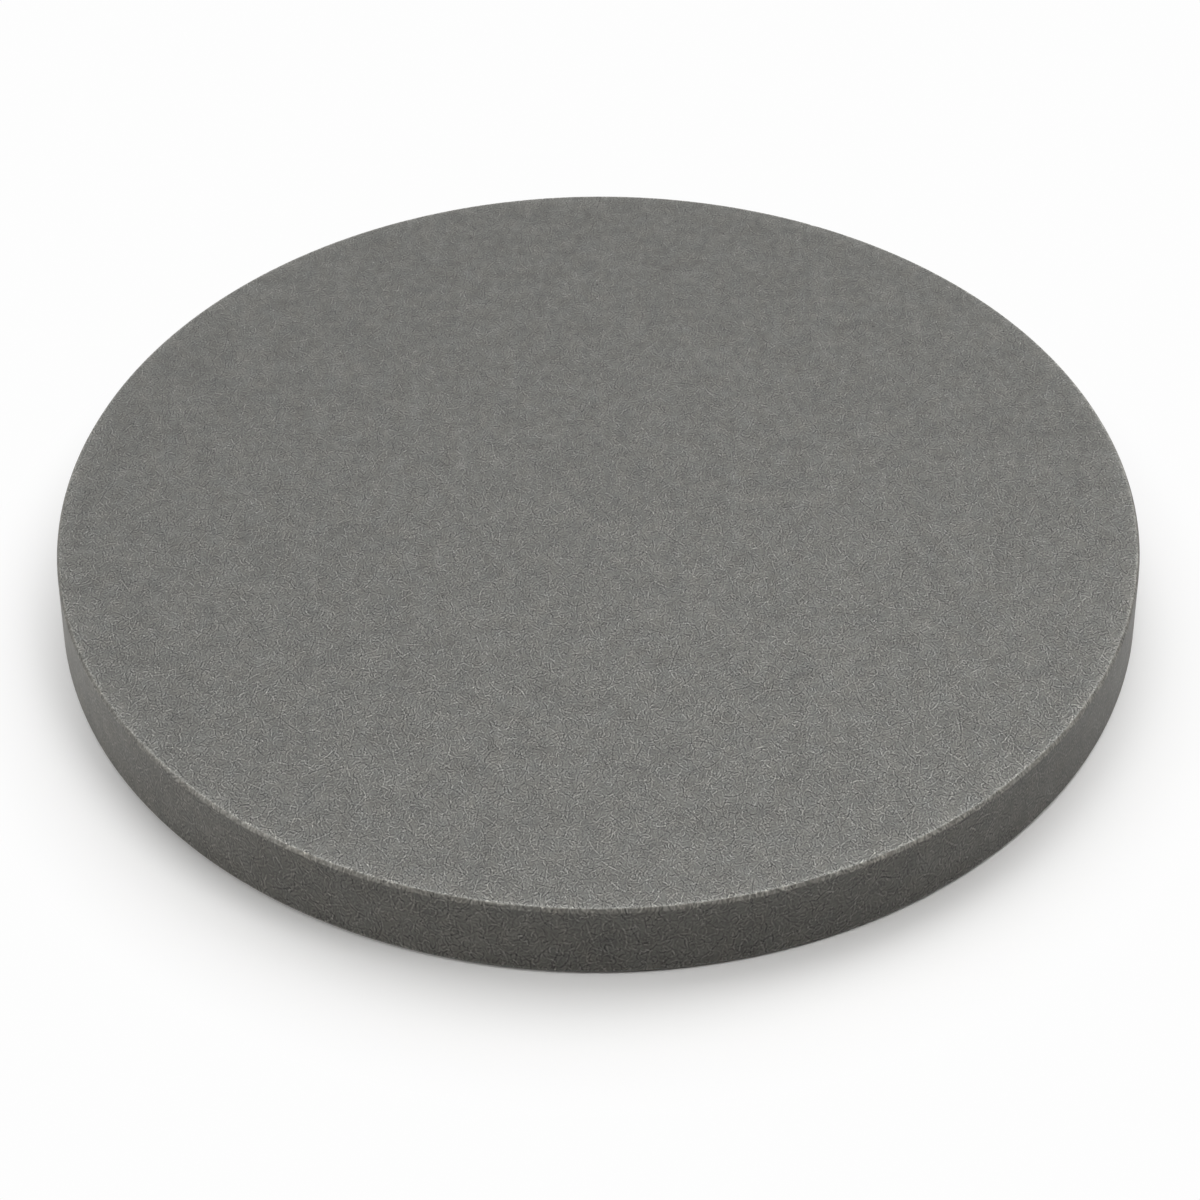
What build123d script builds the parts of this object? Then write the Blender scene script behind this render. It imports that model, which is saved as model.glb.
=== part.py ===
from build123d import *
import os

# A sputtering target: one dense ceramic disc, ground on both faces and round its rim.
# The front face is the one that is sputtered, and the back face lies on the cathode.
# Lengths are in millimetres. The origin is the centre of the back face, and +Z points
# out of the front face.

# Driving dimensions
disc_diameter = 50.8
disc_thickness = 4.0
front_edge_break = 0.2
back_edge_break = 0.2
corner_blend = 0.05

with BuildPart() as target_disc:
    # The blank, ground to its diameter and to one even thickness
    with BuildSketch(Plane.XY):
        Circle(radius=disc_diameter / 2)
    extrude(amount=disc_thickness)

    # Each rim is broken at 45 degrees, because a sharp ceramic edge chips and arcs
    front_rim = faces().sort_by(Axis.Z)[-1].edges()
    chamfer(front_rim, length=front_edge_break)
    back_rim = faces().sort_by(Axis.Z)[0].edges()
    chamfer(back_rim, length=back_edge_break)

    # Handling and lapping leave the corners of the edge breaks a little round
    break_corners = edges().filter_by(GeomType.CIRCLE)
    fillet(break_corners, radius=corner_blend)

target_disc.part.label = "target_disc"

os.makedirs("parts", exist_ok=True)
export_step(target_disc.part, "parts/target_disc.step")
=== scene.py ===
import math

import bpy
import numpy as np
from mathutils import Matrix, Vector


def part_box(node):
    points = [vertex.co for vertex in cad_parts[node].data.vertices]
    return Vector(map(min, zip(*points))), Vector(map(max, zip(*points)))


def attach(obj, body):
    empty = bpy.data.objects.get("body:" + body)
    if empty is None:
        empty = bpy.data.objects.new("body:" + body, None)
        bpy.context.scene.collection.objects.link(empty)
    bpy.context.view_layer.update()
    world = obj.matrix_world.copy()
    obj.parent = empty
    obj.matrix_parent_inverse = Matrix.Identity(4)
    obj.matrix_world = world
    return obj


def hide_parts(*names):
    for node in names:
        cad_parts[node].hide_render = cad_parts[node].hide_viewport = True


# The looks of a sputtering target: one grey ceramic disc with lapped faces, a ground rim and
# small worn edge breaks. Lengths are in metres, except where a comment or _MM says otherwise.

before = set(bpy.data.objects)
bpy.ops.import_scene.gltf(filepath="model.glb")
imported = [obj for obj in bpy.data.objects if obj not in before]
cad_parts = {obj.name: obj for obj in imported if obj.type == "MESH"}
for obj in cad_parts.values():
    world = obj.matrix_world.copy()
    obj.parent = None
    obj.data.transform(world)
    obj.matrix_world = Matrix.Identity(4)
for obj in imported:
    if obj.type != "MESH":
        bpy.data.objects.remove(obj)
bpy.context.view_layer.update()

# Form, from the frame. An edge break runs a little less far onto the face than the solid's.
NODE = "target_disc"
LOW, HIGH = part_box(NODE)
RADIUS = (HIGH.x - LOW.x) / 2
THICKNESS = HIGH.z - LOW.z
EDGE_BREAK_WIDTH = 0.00011
EDGE_BREAK_DEPTH = 0.0002
CORNER_BLEND = 0.00005

# The lapping plate wears the rim of a face a little lower than its middle
ROLL_OFF_WIDTH = 0.0015
ROLL_OFF_DEPTH = 0.00002
ROLL_OFF_RINGS = 5

# Mesh density: steps round the disc, points of a rounded corner, rows across an edge break and
# down the wall as shares, and rows beside the two corners
FRONT_SEGMENTS = 3072
BACK_SEGMENTS = 1536
INNER_SEGMENTS = 24
BLEND_STEPS = 3
BREAK_ROWS = (0.25, 0.5, 0.75)
WALL_ROWS = (0.8, 0.5, 0.2)
BESIDE_FACE_CORNER = (0.00005, 0.00011, 0.0002)
BESIDE_WALL_CORNER = (0.00003, 0.00007, 0.00015)

# Edge wear in the form: small bites out of the two corners of each edge break, each a share of
# its own half length deep and wide, and a faint ripple
CHIPS_PER_CORNER = 300
CHIP_HALF_LENGTH = 0.00004
CHIP_LENGTH_SPREAD = 0.5
LONGEST_CHIP = 0.0004
CHIP_REACH_SHARE = 0.7
CHIP_REACH_RANGE = (0.7, 1.3)
CHIP_DEPTH_SHARE = 0.12
CHIP_DEPTH_RANGE = (0.5, 1.5)
CHIP_SIDE_STEP = 0.4
CHIP_ROUNDNESS = 0.75
RIPPLE_HEIGHT = 0.000002
RIPPLE_HALF_WIDTH = 0.00005
RIPPLES = (83, 131, 197, 311, 443, 523)

# Edge wear in the tone, where 0 is none: in the bites, at the two corners, on the break and on
# the face beside it. The pale lip line at the face's corner is wear and in part a painted
# highlight, a lamp's glint, which its lobe weakens at the far left. The lobes of the break are
# painted highlights, the glints of lamps in front on the left and on the right. Lobes are azimuth
# and width in degrees, and the paler tone that they add.
CHIP_WEAR = 0.5
LIP_WEAR_AND_GLINT = 1.3
LIP_GLINT_LOBES = ((180, 32, -0.8),)
LIP_LINE_ON_FACE = 0.00008
LIP_LINE_ON_BREAK = 0.00006
WALL_CORNER_WEAR = 0.5
WALL_CORNER_WEAR_WIDTH = 0.00004
BREAK_WEAR = 0.1
BREAK_GLINT_LOBES = ((236, 18, 0.85), (310, 32, 0.85))
RIM_WEAR = 0.2
RIM_WEAR_WIDTH = 0.0005

# The map that the finish can be baked to: a circle for each face in two opposite corners, and
# four strips for the rim, two in each corner that the circles leave free
FACE_MAP_RADIUS = 0.287
MAP_GAP = 0.006
STRIP_STARTS = (0.52, 0.54)

# Camera, set against the front face's centre
CAMERA_DISTANCE = 0.21969
CAMERA_ELEVATION = math.radians(41.119)
CAMERA_PITCH = math.radians(42.079)
CAMERA_ROLL = math.radians(-0.276)
CAMERA_SIDE_STEP = 0.00007
SENSOR_WIDTH_MM = 36.0
LENS_MM = 140.06

# Lamps: azimuth and elevation in degrees as seen from the disc (0 is +X, and 90 is behind it),
# distance, width, height and radiance, which is 1 where the lamp would render white
LAMP_DISTANCE = 1.2
SOFTBOXES = {
    "overhead_back": (90, 70, LAMP_DISTANCE, 1.0, 0.5, 2.45),
    "back": (90, 50, LAMP_DISTANCE, 1.2, 0.4, 2.6),
    "left": (190, 20, LAMP_DISTANCE, 0.8, 0.4, 5.4),
    "right_back": (35, 20, LAMP_DISTANCE, 0.6, 0.4, 1.1),
    "front_right": (310, 60, 0.1, 0.05, 0.05, 4.6),
}

# Floor: the light that it gives back to the disc, and its tint. Where it is seen, its shade fades
# to white about a place ahead of the disc's middle. A weak painted glow close to the disc, seen
# by the camera and in reflections alone, lifts the shade in front on the left and behind on the
# right, and a painted shade lowers the glow at the other two corners.
FLOOR_SIDE = 0.6
FLOOR_GAP = 0.00001
FLOOR_BOUNCE = 0.58
FLOOR_TINT = (1.0, 0.994, 0.982)
FLOOR_SHADE_AHEAD = 0.00307
FLOOR_FADE_START = 0.0217
FLOOR_FADE_END = 0.03028
FLOOR_FAR_GLOW = 0.985
FLOOR_CORNER_GLOW = 0.1134
FLOOR_CORNER_REACH = 0.00285

# Colour and gloss, with a slow drift of the tint
CERAMIC = (0.1485, 0.1475, 0.137)
RIM_TINT = (1.01, 0.985, 0.955)
TINT_SHIFT = (0.03, 0.0, -0.03)
TINT_PER_MM = 1.2
ROUGHNESS = 0.5
SPECULAR_LEVEL = 0.3

# Place of the pattern on the surface, where the two faces and the rim are set far apart
MM = 1000.0
FLATTEST_RIM_NORMAL = 0.8
PATTERN_GAP = 4 * RADIUS
PATTERN_STRETCH = 1.3
RIM_PATTERN_SIZE = 1.3

# Contrast of the pattern on the rim and where it is worn and where it carries a painted
# highlight. It also gets weaker from front to back, between two places along Y.
RIM_CONTRAST = 0.7
WORN_AND_GLINT_CONTRAST = 0.8
SOFTER_CONTRAST = 0.45
SOFTER_FROM = -0.02
SOFTER_TO = 0.024

# Pattern: lengths in millimetres, and scales in cells or waves per millimetre
CURL_SCALE = 3.0
CURL_WAVES = 2.2
CURL_TONE = 0.5
PATCH_PER_MM = 1.6
PATCH_CONTRAST = 1.2
STROKE_LAYERS = 4
DEEP_LAYERS = 2
LAYER_STEP = (17.3, 9.7)
STROKE_CELL = 0.25
STROKE_HALF_WIDTH = 0.032
STROKE_HALF_LENGTH = 0.2
STROKE_FULL_SHARE = 0.5
STROKE_BEND = 1.2
STROKE_TONE = 0.92
LONG_STROKE_LAYERS = 2
LONG_STROKE_CELL = 0.8
LONG_STROKE_HALF_LENGTH = 0.6
LONG_STROKE_BEND = 0.6
LONG_STROKE_SHARE = 0.95
PIT_CELL = 0.8
PIT_RADIUS = 0.055
PIT_FLOOR_SHARE = 0.3
PIT_TONE = 1.0
MOTTLE_PER_MM = (0.12, 0.5, 1.3, 3.0)
MOTTLE_TONE = (0.05, 0.16, 0.32, 0.38)
FACE_SCRATCH_HEIGHT = 0.0018
RIM_SCRATCH_HEIGHT = 0.0005
SCRATCH_ROUGHNESS = 0.1
WEAR_AND_GLINT_TONE = 1.0
PALE_BEADS_PER_MM = 7.0
PALE_BEAD_CONTRAST = 1.8


def corner_arc(centre_r, centre_z, start, turn):
    """Points of one rounded corner, from the angle start through turn, as (radius, height)."""
    points = []
    for step in range(BLEND_STEPS):
        angle = start + turn * step / (BLEND_STEPS - 1)
        out, up = CORNER_BLEND * math.cos(angle), CORNER_BLEND * math.sin(angle)
        points.append((centre_r + out, centre_z + up))
    return points


def edge_section():
    """The section of the front edge from the face to the wall as (radius, height) points, and
    the rows of the two corners in it."""
    fall = math.atan2(EDGE_BREAK_DEPTH, EDGE_BREAK_WIDTH)
    rest = math.pi / 2 - fall
    face_r = RADIUS - EDGE_BREAK_WIDTH - CORNER_BLEND * math.tan(fall / 2)
    wall_z = THICKNESS - EDGE_BREAK_DEPTH - CORNER_BLEND * math.tan(rest / 2)
    face_corner = corner_arc(face_r, THICKNESS - CORNER_BLEND, math.pi / 2, -fall)
    wall_corner = corner_arc(RADIUS - CORNER_BLEND, wall_z, rest, -rest)
    start, end = Vector(face_corner[-1]), Vector(wall_corner[0])
    between = [tuple(start.lerp(end, share)) for share in BREAK_ROWS]
    beside_face = [(face_r - gap, THICKNESS) for gap in reversed(BESIDE_FACE_CORNER)]
    beside_wall = [(RADIUS, wall_z - gap) for gap in BESIDE_WALL_CORNER]
    section = beside_face + face_corner + between + wall_corner + beside_wall
    middle = BLEND_STEPS // 2
    rows = len(beside_face) + middle, len(section) - len(beside_wall) - BLEND_STEPS + middle
    return np.array(section), rows


def roll_off(r):
    """How far the face lies below its middle at the radius r."""
    share = np.clip((r - (RADIUS - ROLL_OFF_WIDTH)) / ROLL_OFF_WIDTH, 0, 1)
    return ROLL_OFF_DEPTH * share ** 2


def turns(segments):
    """The azimuths of the points of a ring."""
    return np.arange(segments) * 2 * math.pi / segments


def round_wear_and_glint(turn, wear_and_glint, lobes):
    """The paleness of wearing round the disc, with painted highlight added or taken away about
    the azimuths of the lobes.
    """
    wear_and_glint = np.full(len(turn), wear_and_glint)
    for azimuth, width, strength in lobes:
        wear_and_glint += strength * np.exp(-((np.degrees(turn) - azimuth) / width) ** 2)
    return wear_and_glint


def rim_wear(r):
    """How much paler a face grows towards its rim through slight wearing, at the radius r."""
    return RIM_WEAR * math.exp(-((RADIUS - EDGE_BREAK_WIDTH - r) / RIM_WEAR_WIDTH) ** 2)


def add_chip(off, bite, wear_and_glint, random):
    """Bites one chip out of the corner where off is 0, and wears the edge there."""
    segments = bite.shape[1]
    half = min(CHIP_HALF_LENGTH * random.lognormal(0, CHIP_LENGTH_SPREAD), LONGEST_CHIP)
    reach = half * CHIP_REACH_SHARE * random.uniform(*CHIP_REACH_RANGE)
    depth = half * CHIP_DEPTH_SHARE * random.uniform(*CHIP_DEPTH_RANGE)
    centre = random.integers(segments)
    spread = int(half * segments / (2 * math.pi * RADIUS)) + 1
    columns = np.arange(centre - spread, centre + spread + 1)
    u = (columns - centre) * 2 * math.pi * RADIUS / segments / half
    v = (off - reach * random.uniform(-CHIP_SIDE_STEP, CHIP_SIDE_STEP)) / reach
    hollow = np.clip(1 - u[None, :] ** 2 - v[:, None] ** 2, 0, 1) ** CHIP_ROUNDNESS
    columns %= segments
    bite[:, columns] = np.maximum(bite[:, columns], depth * hollow)
    wear_and_glint[:, columns] = np.maximum(wear_and_glint[:, columns], CHIP_WEAR * hollow)


def worn_edge(segments, random):
    """The rings of one front edge, chipped by wearing, each as points and their paleness from
    wearing and from painted highlights.
    """
    section, corner_rows = edge_section()
    along = np.concatenate([[0], np.cumsum(np.hypot(*np.diff(section, axis=0).T))])
    tangent = np.gradient(section, along, axis=0)
    tangent /= np.hypot(*tangent.T)[:, None]
    inward = np.stack([tangent[:, 1], -tangent[:, 0]], 1)
    bite = np.zeros((len(section), segments))
    wear_and_glint = np.zeros_like(bite)
    turn = turns(segments)
    # The lip line: wear, and in part a painted highlight that is weaker at the far left
    lip = (LIP_LINE_ON_FACE, LIP_LINE_ON_BREAK, round_wear_and_glint(turn, LIP_WEAR_AND_GLINT, LIP_GLINT_LOBES))
    wall_corner = (WALL_CORNER_WEAR_WIDTH, WALL_CORNER_WEAR_WIDTH, WALL_CORNER_WEAR)
    for row, (before, after, strength) in zip(corner_rows, (lip, wall_corner)):
        off = along - along[row]
        ripple = sum(np.sin(n * turn + random.uniform(0, 2 * math.pi)) for n in RIPPLES)
        near = np.exp(-(off / RIPPLE_HALF_WIDTH) ** 2)
        bite += RIPPLE_HEIGHT * (1 + ripple / len(RIPPLES)) * near[:, None]
        paler = np.exp(-(off / np.where(off < 0, before, after)) ** 2)
        wear_and_glint = np.maximum(wear_and_glint, paler[:, None] * strength)
        for _ in range(CHIPS_PER_CORNER * segments // FRONT_SEGMENTS):
            add_chip(off, bite, wear_and_glint, random)
    rows = np.arange(len(section))
    on_break = (rows >= corner_rows[0]) & (rows <= corner_rows[1])
    # The break: slight wear all round, and painted highlights in front on the left and on the
    # right
    break_wear_and_glint = round_wear_and_glint(turn, BREAK_WEAR, BREAK_GLINT_LOBES)
    wear_and_glint = np.maximum(wear_and_glint, on_break[:, None] * break_wear_and_glint)
    rings = []
    for (r, z), (in_r, in_z), depth, worn_and_glinting in zip(section, inward, bite, wear_and_glint):
        on_face = z > THICKNESS - CORNER_BLEND
        radius = r + in_r * depth
        height = z + in_z * depth - roll_off(r) * on_face
        points = np.stack([radius * np.cos(turn), radius * np.sin(turn), height], 1)
        rings.append((points, np.maximum(worn_and_glinting, rim_wear(r) * on_face)))
    return rings


def plain_ring(r, z, segments, worn_and_glinting=0.0):
    """An even ring, as points and the paleness of each."""
    turn = turns(segments)
    points = np.stack([r * np.cos(turn), r * np.sin(turn), np.full(segments, z)], 1)
    return points, np.full(segments, worn_and_glinting)


def worn_face(segments, seed):
    """The rings of the front face and its edge, from the middle outwards."""
    rings = [plain_ring(0.0, THICKNESS, 1)]
    reach = RADIUS - ROLL_OFF_WIDTH
    count = INNER_SEGMENTS
    while count < segments / 2:
        rings.append(plain_ring(reach * count * 2 / segments, THICKNESS, count))
        count *= 2
    edge = worn_edge(segments, np.random.default_rng(seed))
    outermost = np.hypot(*edge[0][0][0][:2])
    for r in np.linspace(reach, outermost, ROLL_OFF_RINGS, endpoint=False):
        rings.append(plain_ring(r, THICKNESS - roll_off(r), segments // 2, rim_wear(r)))
    return rings + edge


def band(upper, lower):
    """Faces between two neighbouring rings, as corners of (0 for upper or 1 for lower, step)."""
    faces = []
    if upper == 1:
        return [((0, 0), (1, j), (1, j + 1)) for j in range(lower)]
    if lower == 1:
        return [((0, j), (1, 0), (0, j + 1)) for j in range(upper)]
    for j in range(min(upper, lower)):
        if upper == lower:
            faces.append(((0, j), (1, j), (1, j + 1), (0, j + 1)))
        elif lower == 2 * upper:
            faces.append(((0, j), (1, 2 * j), (1, 2 * j + 1)))
            faces.append(((0, j), (1, 2 * j + 1), (0, j + 1)))
            faces.append(((0, j + 1), (1, 2 * j + 1), (1, 2 * j + 2)))
        else:
            faces.append(((0, 2 * j), (1, j), (0, 2 * j + 1)))
            faces.append(((0, 2 * j + 1), (1, j), (1, j + 1)))
            faces.append(((0, 2 * j + 1), (1, j + 1), (0, 2 * j + 2)))
    return faces


def strip_place(strip, across, along):
    """A place on the map of one of the rim's four strips, with across and along from 0 to 1."""
    scale = FACE_MAP_RADIUS / (RADIUS - EDGE_BREAK_WIDTH)
    length = scale * RADIUS * math.pi / 2
    height = scale * THICKNESS
    row = strip % 2
    u = STRIP_STARTS[row] - MAP_GAP + length * along
    v = MAP_GAP + row * (height + MAP_GAP) + height * across
    return (u, v) if strip < 2 else (1 - u, 1 - v)


def face_place(r, turn, behind):
    """A place on the map of the front face or the back face."""
    reach = FACE_MAP_RADIUS * r / (RADIUS - EDGE_BREAK_WIDTH)
    centre = FACE_MAP_RADIUS + MAP_GAP
    u, v = centre + reach * math.cos(turn), centre + reach * math.sin(turn)
    return (1 - u, 1 - v) if behind else (u, v)


def all_rings():
    """Every ring of the disc, from the middle of the front face to the middle of the back."""
    front = worn_face(FRONT_SEGMENTS, seed=1)
    wall = [plain_ring(RADIUS, THICKNESS * share, BACK_SEGMENTS) for share in WALL_ROWS]
    back = []
    for points, wear_and_glint in reversed(worn_face(BACK_SEGMENTS, seed=2)):
        back.append((points * (1, 1, -1) + (0, 0, THICKNESS), wear_and_glint))
    return front + wall + back


def build_disc():
    """The disc as one closed mesh, with its paleness from wearing and painted highlights, and a
    map for a baked finish.
    """
    rings = all_rings()
    counts = [len(points) for points, _ in rings]
    starts = np.cumsum([0] + counts)
    radii = [float(np.median(np.hypot(points[:, 0], points[:, 1]))) for points, _ in rings]
    heights = [float(np.median(points[:, 2])) for points, _ in rings]
    rim_start = RADIUS - EDGE_BREAK_WIDTH - CORNER_BLEND / 4
    rim = [i for i, r in enumerate(radii) if r > rim_start]
    first, last = rim[0], rim[-1]
    faces, places = [], []
    for i in range(len(rings) - 1):
        for corners in band(counts[i], counts[i + 1]):
            faces.append([int(starts[i + side] + j % counts[i + side]) for side, j in corners])
            shares = [j / counts[i + side] for side, j in corners]
            strip = int(4 * sum(shares) / len(shares))
            for (side, _), share in zip(corners, shares):
                if first <= i < last:
                    drop = heights[i + side] - heights[last]
                    across = drop / (heights[first] - heights[last])
                    places.append(strip_place(strip, across, 4 * share - strip))
                else:
                    places.append(face_place(radii[i + side], 2 * math.pi * share, i >= last))
    mesh = bpy.data.meshes.new("sputtering_target")
    mesh.from_pydata(np.concatenate([points for points, _ in rings]).tolist(), [], faces)
    mesh.shade_smooth()
    wear_and_glint = mesh.attributes.new("wear_and_glint", "FLOAT", "POINT")
    wear_and_glint.data.foreach_set("value", np.concatenate([worn_and_glinting for _, worn_and_glinting in rings]).astype(np.float32))
    baked = mesh.uv_layers.new(name="OFBake")
    baked.data.foreach_set("uv", np.array(places, dtype=np.float32).ravel())
    disc = bpy.data.objects.new("sputtering_target", mesh)
    bpy.context.scene.collection.objects.link(disc)
    return disc


def feed(tree, socket, value):
    """Links a socket to another one, or sets its value."""
    if isinstance(value, bpy.types.NodeSocket):
        tree.links.new(value, socket)
    else:
        socket.default_value = value


def maths(tree, operation, *values):
    node = tree.nodes.new("ShaderNodeMath")
    node.operation = operation
    for socket, value in zip(node.inputs, values):
        feed(tree, socket, value)
    return node.outputs[0]


def signed(tree, value):
    """A value from 0 to 1, spread from -1 to 1."""
    return maths(tree, "MULTIPLY_ADD", value, 2.0, -1.0)


def vectors(tree, operation, first, second):
    node = tree.nodes.new("ShaderNodeVectorMath")
    node.operation = operation
    feed(tree, node.inputs[0], first)
    feed(tree, node.inputs[1], second)
    return node.outputs[0]


def scaled(tree, vector, factor):
    node = tree.nodes.new("ShaderNodeVectorMath")
    node.operation = "SCALE"
    feed(tree, node.inputs[0], vector)
    feed(tree, node.inputs["Scale"], factor)
    return node.outputs[0]


def parts_of(tree, vector):
    node = tree.nodes.new("ShaderNodeSeparateXYZ")
    tree.links.new(vector, node.inputs[0])
    return node.outputs


def joined(tree, x, y):
    node = tree.nodes.new("ShaderNodeCombineXYZ")
    feed(tree, node.inputs[0], x)
    feed(tree, node.inputs[1], y)
    return node.outputs[0]


def falloff(tree, value, near, far):
    """1 below near, 0 above far, and a smooth step between them."""
    node = tree.nodes.new("ShaderNodeMapRange")
    node.interpolation_type = "SMOOTHSTEP"
    feed(tree, node.inputs["Value"], value)
    node.inputs["From Min"].default_value = near
    node.inputs["From Max"].default_value = far
    node.inputs["To Min"].default_value = 1.0
    node.inputs["To Max"].default_value = 0.0
    return node.outputs[0]


def noise(tree, place, per_mm, detail=2.0):
    """Noise about 0, from -1 to 1."""
    node = tree.nodes.new("ShaderNodeTexNoise")
    feed(tree, node.inputs["Vector"], place)
    node.inputs["Scale"].default_value = per_mm
    node.inputs["Detail"].default_value = detail
    return signed(tree, node.outputs["Fac"])


def curls(tree, place, scale, waves):
    """A dense labyrinth of short light and dark curls, about 0."""
    node = tree.nodes.new("ShaderNodeTexGabor")
    node.gabor_type = "2D"
    tree.links.new(place, node.inputs["Vector"])
    node.inputs["Scale"].default_value = scale
    node.inputs["Frequency"].default_value = waves
    node.inputs["Anisotropy"].default_value = 0.0
    return signed(tree, node.outputs["Value"])


def surface_place(tree):
    """Where a point lies on the surface, in millimetres, across a face or round the rim and along
    its height, and whether it lies on a face."""
    x, y, z = parts_of(tree, tree.nodes.new("ShaderNodeTexCoord").outputs["Object"])
    turn = maths(tree, "ARCTAN2", y, x)
    round_rim = maths(tree, "MULTIPLY", turn, RADIUS / RIM_PATTERN_SIZE)
    rim_scale = 1 / (RIM_PATTERN_SIZE * PATTERN_STRETCH)
    on_rim = joined(tree, round_rim, maths(tree, "MULTIPLY_ADD", z, rim_scale, PATTERN_GAP))
    behind = maths(tree, "LESS_THAN", z, THICKNESS / 2)
    depth = maths(tree, "MULTIPLY_ADD", behind, -PATTERN_GAP, y)
    on_face = joined(tree, x, maths(tree, "DIVIDE", depth, PATTERN_STRETCH))
    normal = tree.nodes.new("ShaderNodeNewGeometry").outputs["True Normal"]
    facing = maths(tree, "ABSOLUTE", parts_of(tree, normal)[2])
    flat = maths(tree, "GREATER_THAN", facing, FLATTEST_RIM_NORMAL)
    pick = tree.nodes.new("ShaderNodeMix")
    pick.data_type = "VECTOR"
    feed(tree, pick.inputs["Factor"], flat)
    tree.links.new(on_rim, pick.inputs[4])
    tree.links.new(on_face, pick.inputs[5])
    return vectors(tree, "MULTIPLY", pick.outputs[1], (MM, MM, MM)), flat


def chances(tree, cells):
    """Three chance values from 0 to 1 for each cell."""
    node = tree.nodes.new("ShaderNodeSeparateColor")
    tree.links.new(cells.outputs["Color"], node.inputs[0])
    return node.outputs


def cells_of(tree, place, size):
    node = tree.nodes.new("ShaderNodeTexVoronoi")
    node.voronoi_dimensions = "2D"
    tree.links.new(place, node.inputs["Vector"])
    node.inputs["Scale"].default_value = 1 / size
    return node


def strokes(tree, place, layer, cell, half_length, bend):
    """Short bent strokes, one in each cell, from -1, dark, to 1, light, each with a weak edge of
    the other tone on both sides."""
    step_x, step_y = LAYER_STEP
    shifted = vectors(tree, "ADD", place, (step_x * layer, step_y * layer, 0))
    cells = cells_of(tree, shifted, cell)
    spin, curl, shade = chances(tree, cells)
    from_middle = vectors(tree, "SUBTRACT", shifted, cells.outputs["Position"])
    turned = tree.nodes.new("ShaderNodeVectorRotate")
    turned.rotation_type = "Z_AXIS"
    tree.links.new(from_middle, turned.inputs["Vector"])
    tree.links.new(maths(tree, "MULTIPLY", spin, 2 * math.pi), turned.inputs["Angle"])
    along, across, _ = parts_of(tree, turned.outputs[0])
    curve = maths(tree, "MULTIPLY_ADD", curl, 2 * bend / half_length, -bend / half_length)
    bow = maths(tree, "MULTIPLY", curve, maths(tree, "MULTIPLY", along, along))
    off = maths(tree, "DIVIDE", maths(tree, "SUBTRACT", across, bow), STROKE_HALF_WIDTH)
    square = maths(tree, "MULTIPLY", off, off)
    bell = maths(tree, "EXPONENT", maths(tree, "MULTIPLY", square, -0.5))
    line = maths(tree, "MULTIPLY", maths(tree, "SUBTRACT", 1.0, square), bell)
    reach = maths(tree, "ABSOLUTE", along)
    ends = falloff(tree, reach, STROKE_FULL_SHARE * half_length, half_length)
    return maths(tree, "MULTIPLY", maths(tree, "MULTIPLY", line, ends), signed(tree, shade))


def pits(tree, place):
    """Sparse small pits, dark, and grains, light, from -1 to 1."""
    cells = cells_of(tree, place, PIT_CELL)
    radius = PIT_RADIUS / PIT_CELL
    dot = falloff(tree, cells.outputs["Distance"], PIT_FLOOR_SHARE * radius, radius)
    shade = signed(tree, chances(tree, cells)[0])
    strength = maths(tree, "MULTIPLY", shade, maths(tree, "ABSOLUTE", shade))
    return maths(tree, "MULTIPLY", dot, strength)


def scratches(tree, place):
    """The scratches of loose grit, about 0: dark below it and light above it. The first layers
    alone, which are the deep ones, come second."""
    marks = 0.0
    for layer in range(STROKE_LAYERS):
        short = strokes(tree, place, layer, STROKE_CELL, STROKE_HALF_LENGTH, STROKE_BEND)
        marks = maths(tree, "ADD", marks, short)
        if layer == DEEP_LAYERS - 1:
            deep = marks
    form = (LONG_STROKE_CELL, LONG_STROKE_HALF_LENGTH, LONG_STROKE_BEND)
    for layer in range(STROKE_LAYERS, STROKE_LAYERS + LONG_STROKE_LAYERS):
        longer = strokes(tree, place, layer, *form)
        marks = maths(tree, "MULTIPLY_ADD", longer, LONG_STROKE_SHARE, marks)
    return marks, deep


def pattern_tone(tree, place, on_face, marks, worn_and_glinting):
    """The tone of the scratches, pits and mottling, about 1. The square keeps it above 0."""
    patches = noise(tree, place, PATCH_PER_MM, detail=1.0)
    patches = maths(tree, "MULTIPLY_ADD", patches, PATCH_CONTRAST, 1.0)
    grain = maths(tree, "MULTIPLY", curls(tree, place, CURL_SCALE, CURL_WAVES), patches)
    grain = maths(tree, "MULTIPLY", grain, CURL_TONE)
    pattern = maths(tree, "MULTIPLY_ADD", marks, STROKE_TONE, grain)
    y = parts_of(tree, tree.nodes.new("ShaderNodeTexCoord").outputs["Object"])[1]
    faded = falloff(tree, y, SOFTER_FROM, SOFTER_TO)
    softness = maths(tree, "MULTIPLY_ADD", faded, 1.0 - SOFTER_CONTRAST, SOFTER_CONTRAST)
    pattern = maths(tree, "MULTIPLY", pattern, softness)
    pattern = maths(tree, "MULTIPLY_ADD", pits(tree, place), PIT_TONE, pattern)
    contrast = maths(tree, "MULTIPLY_ADD", on_face, 1.0 - RIM_CONTRAST, RIM_CONTRAST)
    unworn = maths(tree, "MULTIPLY_ADD", worn_and_glinting, WORN_AND_GLINT_CONTRAST - 1.0, 1.0)
    pattern = maths(tree, "MULTIPLY", pattern, maths(tree, "MULTIPLY", contrast, unworn))
    for per_mm, strength in zip(MOTTLE_PER_MM, MOTTLE_TONE):
        pattern = maths(tree, "MULTIPLY_ADD", noise(tree, place, per_mm), strength, pattern)
    half_tone = maths(tree, "MULTIPLY_ADD", pattern, 0.5, 1.0)
    return maths(tree, "MULTIPLY", half_tone, half_tone)


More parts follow.
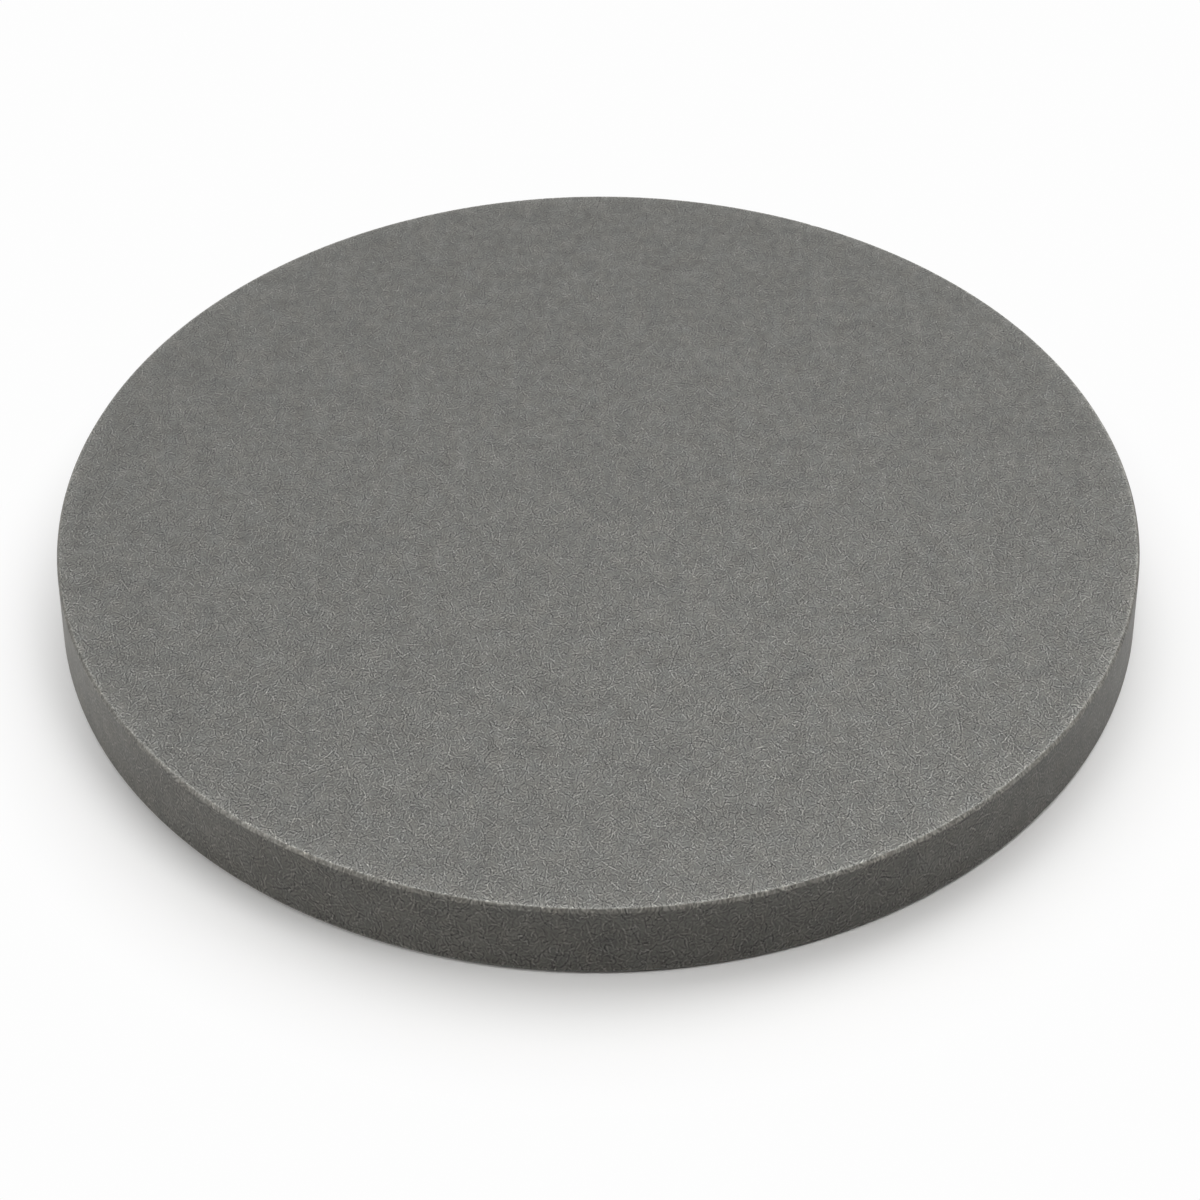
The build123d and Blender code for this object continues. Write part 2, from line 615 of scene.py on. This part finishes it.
def worn_and_glint_tone(tree, place, worn_and_glinting):
    """The tone of the places pale from wearing and from painted highlights: 1 where there are
    none, and beaded above it.
    """
    beads = noise(tree, place, PALE_BEADS_PER_MM, detail=1.0)
    beads = maths(tree, "MULTIPLY_ADD", beads, PALE_BEAD_CONTRAST, 1.0)
    paler = maths(tree, "MULTIPLY", worn_and_glinting, maths(tree, "MULTIPLY", beads, WEAR_AND_GLINT_TONE))
    return maths(tree, "ADD", paler, 1.0)


def ceramic_tint(tree, place, on_face):
    """The colour of a face or of the rim, with its slow drift."""
    tint = tree.nodes.new("ShaderNodeMix")
    tint.data_type = "VECTOR"
    tree.links.new(on_face, tint.inputs["Factor"])
    tint.inputs[4].default_value = [a * b for a, b in zip(CERAMIC, RIM_TINT)]
    tint.inputs[5].default_value = CERAMIC
    shift = scaled(tree, TINT_SHIFT, noise(tree, place, TINT_PER_MM))
    return vectors(tree, "MULTIPLY", tint.outputs[1], vectors(tree, "ADD", shift, (1, 1, 1)))


def ceramic_material():
    material = bpy.data.materials.new("lapped_ceramic")
    material.use_nodes = True
    tree = material.node_tree
    shader = tree.nodes["Principled BSDF"]
    place, on_face = surface_place(tree)
    marks, deep = scratches(tree, place)
    # Paleness from wearing, and painted highlights on the lip and the break
    wear_and_glint = tree.nodes.new("ShaderNodeAttribute")
    wear_and_glint.attribute_name = "wear_and_glint"
    worn_and_glinting = wear_and_glint.outputs["Fac"]

    tone = pattern_tone(tree, place, on_face, marks, worn_and_glinting)
    tone = maths(tree, "MULTIPLY", tone, worn_and_glint_tone(tree, place, worn_and_glinting))
    colour = scaled(tree, ceramic_tint(tree, place, on_face), tone)
    tree.links.new(colour, shader.inputs["Base Color"])

    bump = tree.nodes.new("ShaderNodeBump")
    bump.inputs["Strength"].default_value = 1.0
    bump.inputs["Distance"].default_value = 1 / MM
    extra = FACE_SCRATCH_HEIGHT - RIM_SCRATCH_HEIGHT
    relief = maths(tree, "MULTIPLY_ADD", on_face, extra, RIM_SCRATCH_HEIGHT)
    tree.links.new(maths(tree, "MULTIPLY", deep, relief), bump.inputs["Height"])
    tree.links.new(bump.outputs["Normal"], shader.inputs["Normal"])
    roughness = maths(tree, "MULTIPLY_ADD", marks, SCRATCH_ROUGHNESS, ROUGHNESS)
    tree.links.new(roughness, shader.inputs["Roughness"])
    shader.inputs["Specular IOR Level"].default_value = SPECULAR_LEVEL
    return material


def make_camera():
    data = bpy.data.cameras.new("camera")
    data.sensor_width = SENSOR_WIDTH_MM
    data.lens = LENS_MM
    camera = bpy.data.objects.new("camera", data)
    bpy.context.scene.collection.objects.link(camera)
    back = CAMERA_DISTANCE * math.cos(CAMERA_ELEVATION)
    up = CAMERA_DISTANCE * math.sin(CAMERA_ELEVATION)
    place = Matrix.Translation((CAMERA_SIDE_STEP, -back, THICKNESS + up))
    tilt = Matrix.Rotation(math.pi / 2 - CAMERA_PITCH, 4, "X")
    roll = Matrix.Rotation(CAMERA_ROLL, 4, "Z")
    camera.matrix_world = place @ tilt @ roll
    bpy.context.scene.camera = camera


def softbox(name, azimuth, elevation, distance, width, height, radiance):
    """A rectangular lamp that faces the disc."""
    data = bpy.data.lights.new(name, "AREA")
    data.shape = "RECTANGLE"
    data.size = width
    data.size_y = height
    data.energy = radiance * math.pi * width * height
    lamp = bpy.data.objects.new(name, data)
    turn, lift = math.radians(azimuth), math.radians(elevation)
    level = distance * math.cos(lift)
    lamp.location = (level * math.cos(turn), level * math.sin(turn), distance * math.sin(lift))
    lamp.rotation_euler = (-lamp.location).to_track_quat("-Z", "Y").to_euler()
    lamp.visible_camera = False
    bpy.context.scene.collection.objects.link(lamp)


def background_share(tree):
    """1 for rays that show the background itself, also in the disc's gloss, and 0 for the light
    that the background would cast on the disc."""
    path = tree.nodes.new("ShaderNodeLightPath")
    seen = maths(tree, "MAXIMUM", path.outputs["Is Camera Ray"], path.outputs["Is Glossy Ray"])
    return maths(tree, "MAXIMUM", seen, path.outputs["Is Transmission Ray"])


def make_world():
    """White where it is seen, and no light from it on the disc."""
    world = bpy.data.worlds.new("world")
    world.use_nodes = True
    bpy.context.scene.world = world
    tree = world.node_tree
    background = tree.nodes["Background"]
    background.inputs["Color"].default_value = (1, 1, 1, 1)
    tree.links.new(background_share(tree), background.inputs["Strength"])


def make_floor():
    """A white floor that keeps the disc's shade and fades to plain white away from it."""
    half = FLOOR_SIDE / 2
    corners = [(x * half, y * half, -FLOOR_GAP) for x, y in ((-1, -1), (1, -1), (1, 1), (-1, 1))]
    mesh = bpy.data.meshes.new("floor")
    mesh.from_pydata(corners, [], [(0, 1, 2, 3)])
    floor = bpy.data.objects.new("floor", mesh)
    bpy.context.scene.collection.objects.link(floor)
    material = bpy.data.materials.new("floor")
    material.use_nodes = True
    tree = material.node_tree
    shader = tree.nodes["Principled BSDF"]
    shader.inputs["Roughness"].default_value = 1.0
    shader.inputs["Specular IOR Level"].default_value = 0.0
    shader.inputs["Emission Color"].default_value = (1, 1, 1, 1)
    seen = background_share(tree)
    x, y, _ = parts_of(tree, tree.nodes.new("ShaderNodeTexCoord").outputs["Object"])
    aside = maths(tree, "MULTIPLY", x, x)
    ahead = maths(tree, "ADD", y, FLOOR_SHADE_AHEAD)
    away = maths(tree, "SQRT", maths(tree, "MULTIPLY_ADD", ahead, ahead, aside))
    lit = falloff(tree, away, FLOOR_FADE_START, FLOOR_FADE_END)
    out = maths(tree, "SQRT", maths(tree, "MULTIPLY_ADD", y, y, aside))
    close = falloff(tree, out, RADIUS, RADIUS + FLOOR_CORNER_REACH)
    # Painted glow and painted shade close to the disc, by the product of x and y
    crossed = maths(tree, "MULTIPLY", x, y)
    corner_glow = maths(tree, "MULTIPLY", crossed, FLOOR_CORNER_GLOW / RADIUS ** 2)
    near_glow = maths(tree, "MULTIPLY_ADD", corner_glow, close, -FLOOR_FAR_GLOW)
    glow = maths(tree, "MULTIPLY_ADD", lit, near_glow, FLOOR_FAR_GLOW)
    glow = maths(tree, "MAXIMUM", glow, 0.0)
    tree.links.new(maths(tree, "MULTIPLY", glow, seen), shader.inputs["Emission Strength"])
    unseen = maths(tree, "MULTIPLY_ADD", seen, -FLOOR_BOUNCE, FLOOR_BOUNCE)
    white = maths(tree, "MULTIPLY_ADD", lit, seen, unseen)
    tree.links.new(scaled(tree, FLOOR_TINT, white), shader.inputs["Base Color"])
    mesh.materials.append(material)


make_camera()
make_world()
make_floor()
for name, place in SOFTBOXES.items():
    softbox(name, *place)
disc = build_disc()
disc.data.materials.append(ceramic_material())
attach(disc, "root")
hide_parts(NODE)

bpy.context.scene.view_settings.view_transform = "Standard"
